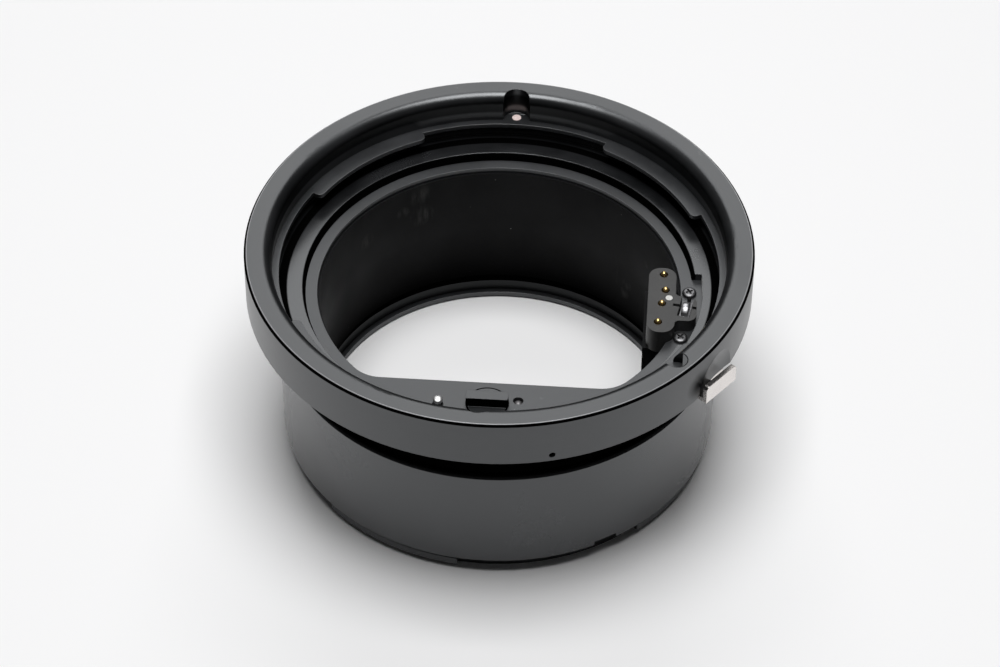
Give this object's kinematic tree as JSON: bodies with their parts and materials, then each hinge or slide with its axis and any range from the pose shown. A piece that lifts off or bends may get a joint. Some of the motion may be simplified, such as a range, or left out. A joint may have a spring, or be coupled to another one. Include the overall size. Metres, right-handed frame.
{
  "type": "macro extension tube",
  "caption": "Short black tube with a bayonet mount at each end, a drive shaft and sprung contacts, which moves a camera lens forward for close-ups.",
  "frame": {"origin": "on the tube's axis, in the plane of its lowest face on the camera side", "axes": "+Z along the optical axis towards the lens, +Y towards the index mark, +X towards the contacts"},
  "size_m": [0.085, 0.085, 0.0406],
  "materials": {
    "satin_black": "satin black anodised",
    "flange_black": "satin black plated",
    "matt_black": "matt black",
    "contact_grey": "satin",
    "gold": "polished gold plate",
    "bright_steel": "plated",
    "bright_chrome": "polished",
    "screw_black": "blackened",
    "spring_steel": "plain",
    "bush_brass": "plain turned",
    "white_paint": "paint",
    "index_paint": "paint"
  },
  "bodies": {
    "tube": {"collar": "satin_black", "bayonet_ring": "flange_black", "barrel": "satin_black", "mask_plate": "flange_black", "light_baffle": "matt_black", "rear_bayonet": "flange_black", "rear_mask_plate": "flange_black", "rear_screws": "screw_black", "shaft_bush_front": "bush_brass", "shaft_bush_rear": "bush_brass", "catch_stud": "bright_steel", "plunger_guide": "bush_brass", "plunger_spring": "spring_steel", "contact_block": "contact_grey", "contact_spring_1": "spring_steel", "contact_spring_2": "spring_steel", "contact_spring_3": "spring_steel", "contact_spring_4": "spring_steel", "ground_spring": "spring_steel", "contact_mark": "white_paint", "contact_column": "matt_black", "rear_contact_block": "contact_grey", "rear_contact_pads": "gold", "mask_screws": "screw_black", "set_screws": "screw_black", "spring_seat": "bush_brass", "lever_spring": "spring_steel", "index_dot": "index_paint"},
    "coupling_shaft": {"coupling_shaft": "bright_steel"},
    "release_lever": {"release_lever": "bright_chrome", "lock_bolt": "satin_black"},
    "catch_plunger": {"catch_plunger": "bright_steel"},
    "contact_pin_1": {"contact_pin_1": "gold"},
    "contact_pin_2": {"contact_pin_2": "gold"},
    "contact_pin_3": {"contact_pin_3": "gold"},
    "contact_pin_4": {"contact_pin_4": "gold"},
    "ground_contact": {"ground_contact": "bright_steel"}
  },
  "joints": [
    {"name": "coupling_turn", "type": "hinge", "parent": "tube", "child": "coupling_shaft", "pos_m": [0, -0.02745, 0], "axis": [0, 0, 1], "continuous": true},
    {"name": "lever_slide", "type": "slide", "parent": "tube", "child": "release_lever", "axis": [0, 0, -1], "range_m": [0, 0.0015], "stiffness_N_per_m": 600, "springref_m": -0.002, "deforming": ["lever_spring"]},
    {"name": "plunger_slide", "type": "slide", "parent": "tube", "child": "catch_plunger", "axis": [0, 0, -1], "range_m": [0, 0.001], "stiffness_N_per_m": 150, "springref_m": -0.001, "deforming": ["plunger_spring"]},
    {"name": "contact_pin_1_slide", "type": "slide", "parent": "tube", "child": "contact_pin_1", "axis": [0, 0, -1], "range_m": [0, 0.0005], "stiffness_N_per_m": 400, "springref_m": -0.0008, "deforming": ["contact_spring_1"]},
    {"name": "contact_pin_2_slide", "type": "slide", "parent": "tube", "child": "contact_pin_2", "axis": [0, 0, -1], "range_m": [0, 0.0005], "stiffness_N_per_m": 400, "springref_m": -0.0008, "deforming": ["contact_spring_2"]},
    {"name": "contact_pin_3_slide", "type": "slide", "parent": "tube", "child": "contact_pin_3", "axis": [0, 0, -1], "range_m": [0, 0.0005], "stiffness_N_per_m": 400, "springref_m": -0.0008, "deforming": ["contact_spring_3"]},
    {"name": "contact_pin_4_slide", "type": "slide", "parent": "tube", "child": "contact_pin_4", "axis": [0, 0, -1], "range_m": [0, 0.0005], "stiffness_N_per_m": 400, "springref_m": -0.0008, "deforming": ["contact_spring_4"]},
    {"name": "ground_contact_slide", "type": "slide", "parent": "tube", "child": "ground_contact", "axis": [0, 0, -1], "range_m": [0, 0.00035], "stiffness_N_per_m": 600, "springref_m": -0.0005, "deforming": ["ground_spring"]}
  ]
}
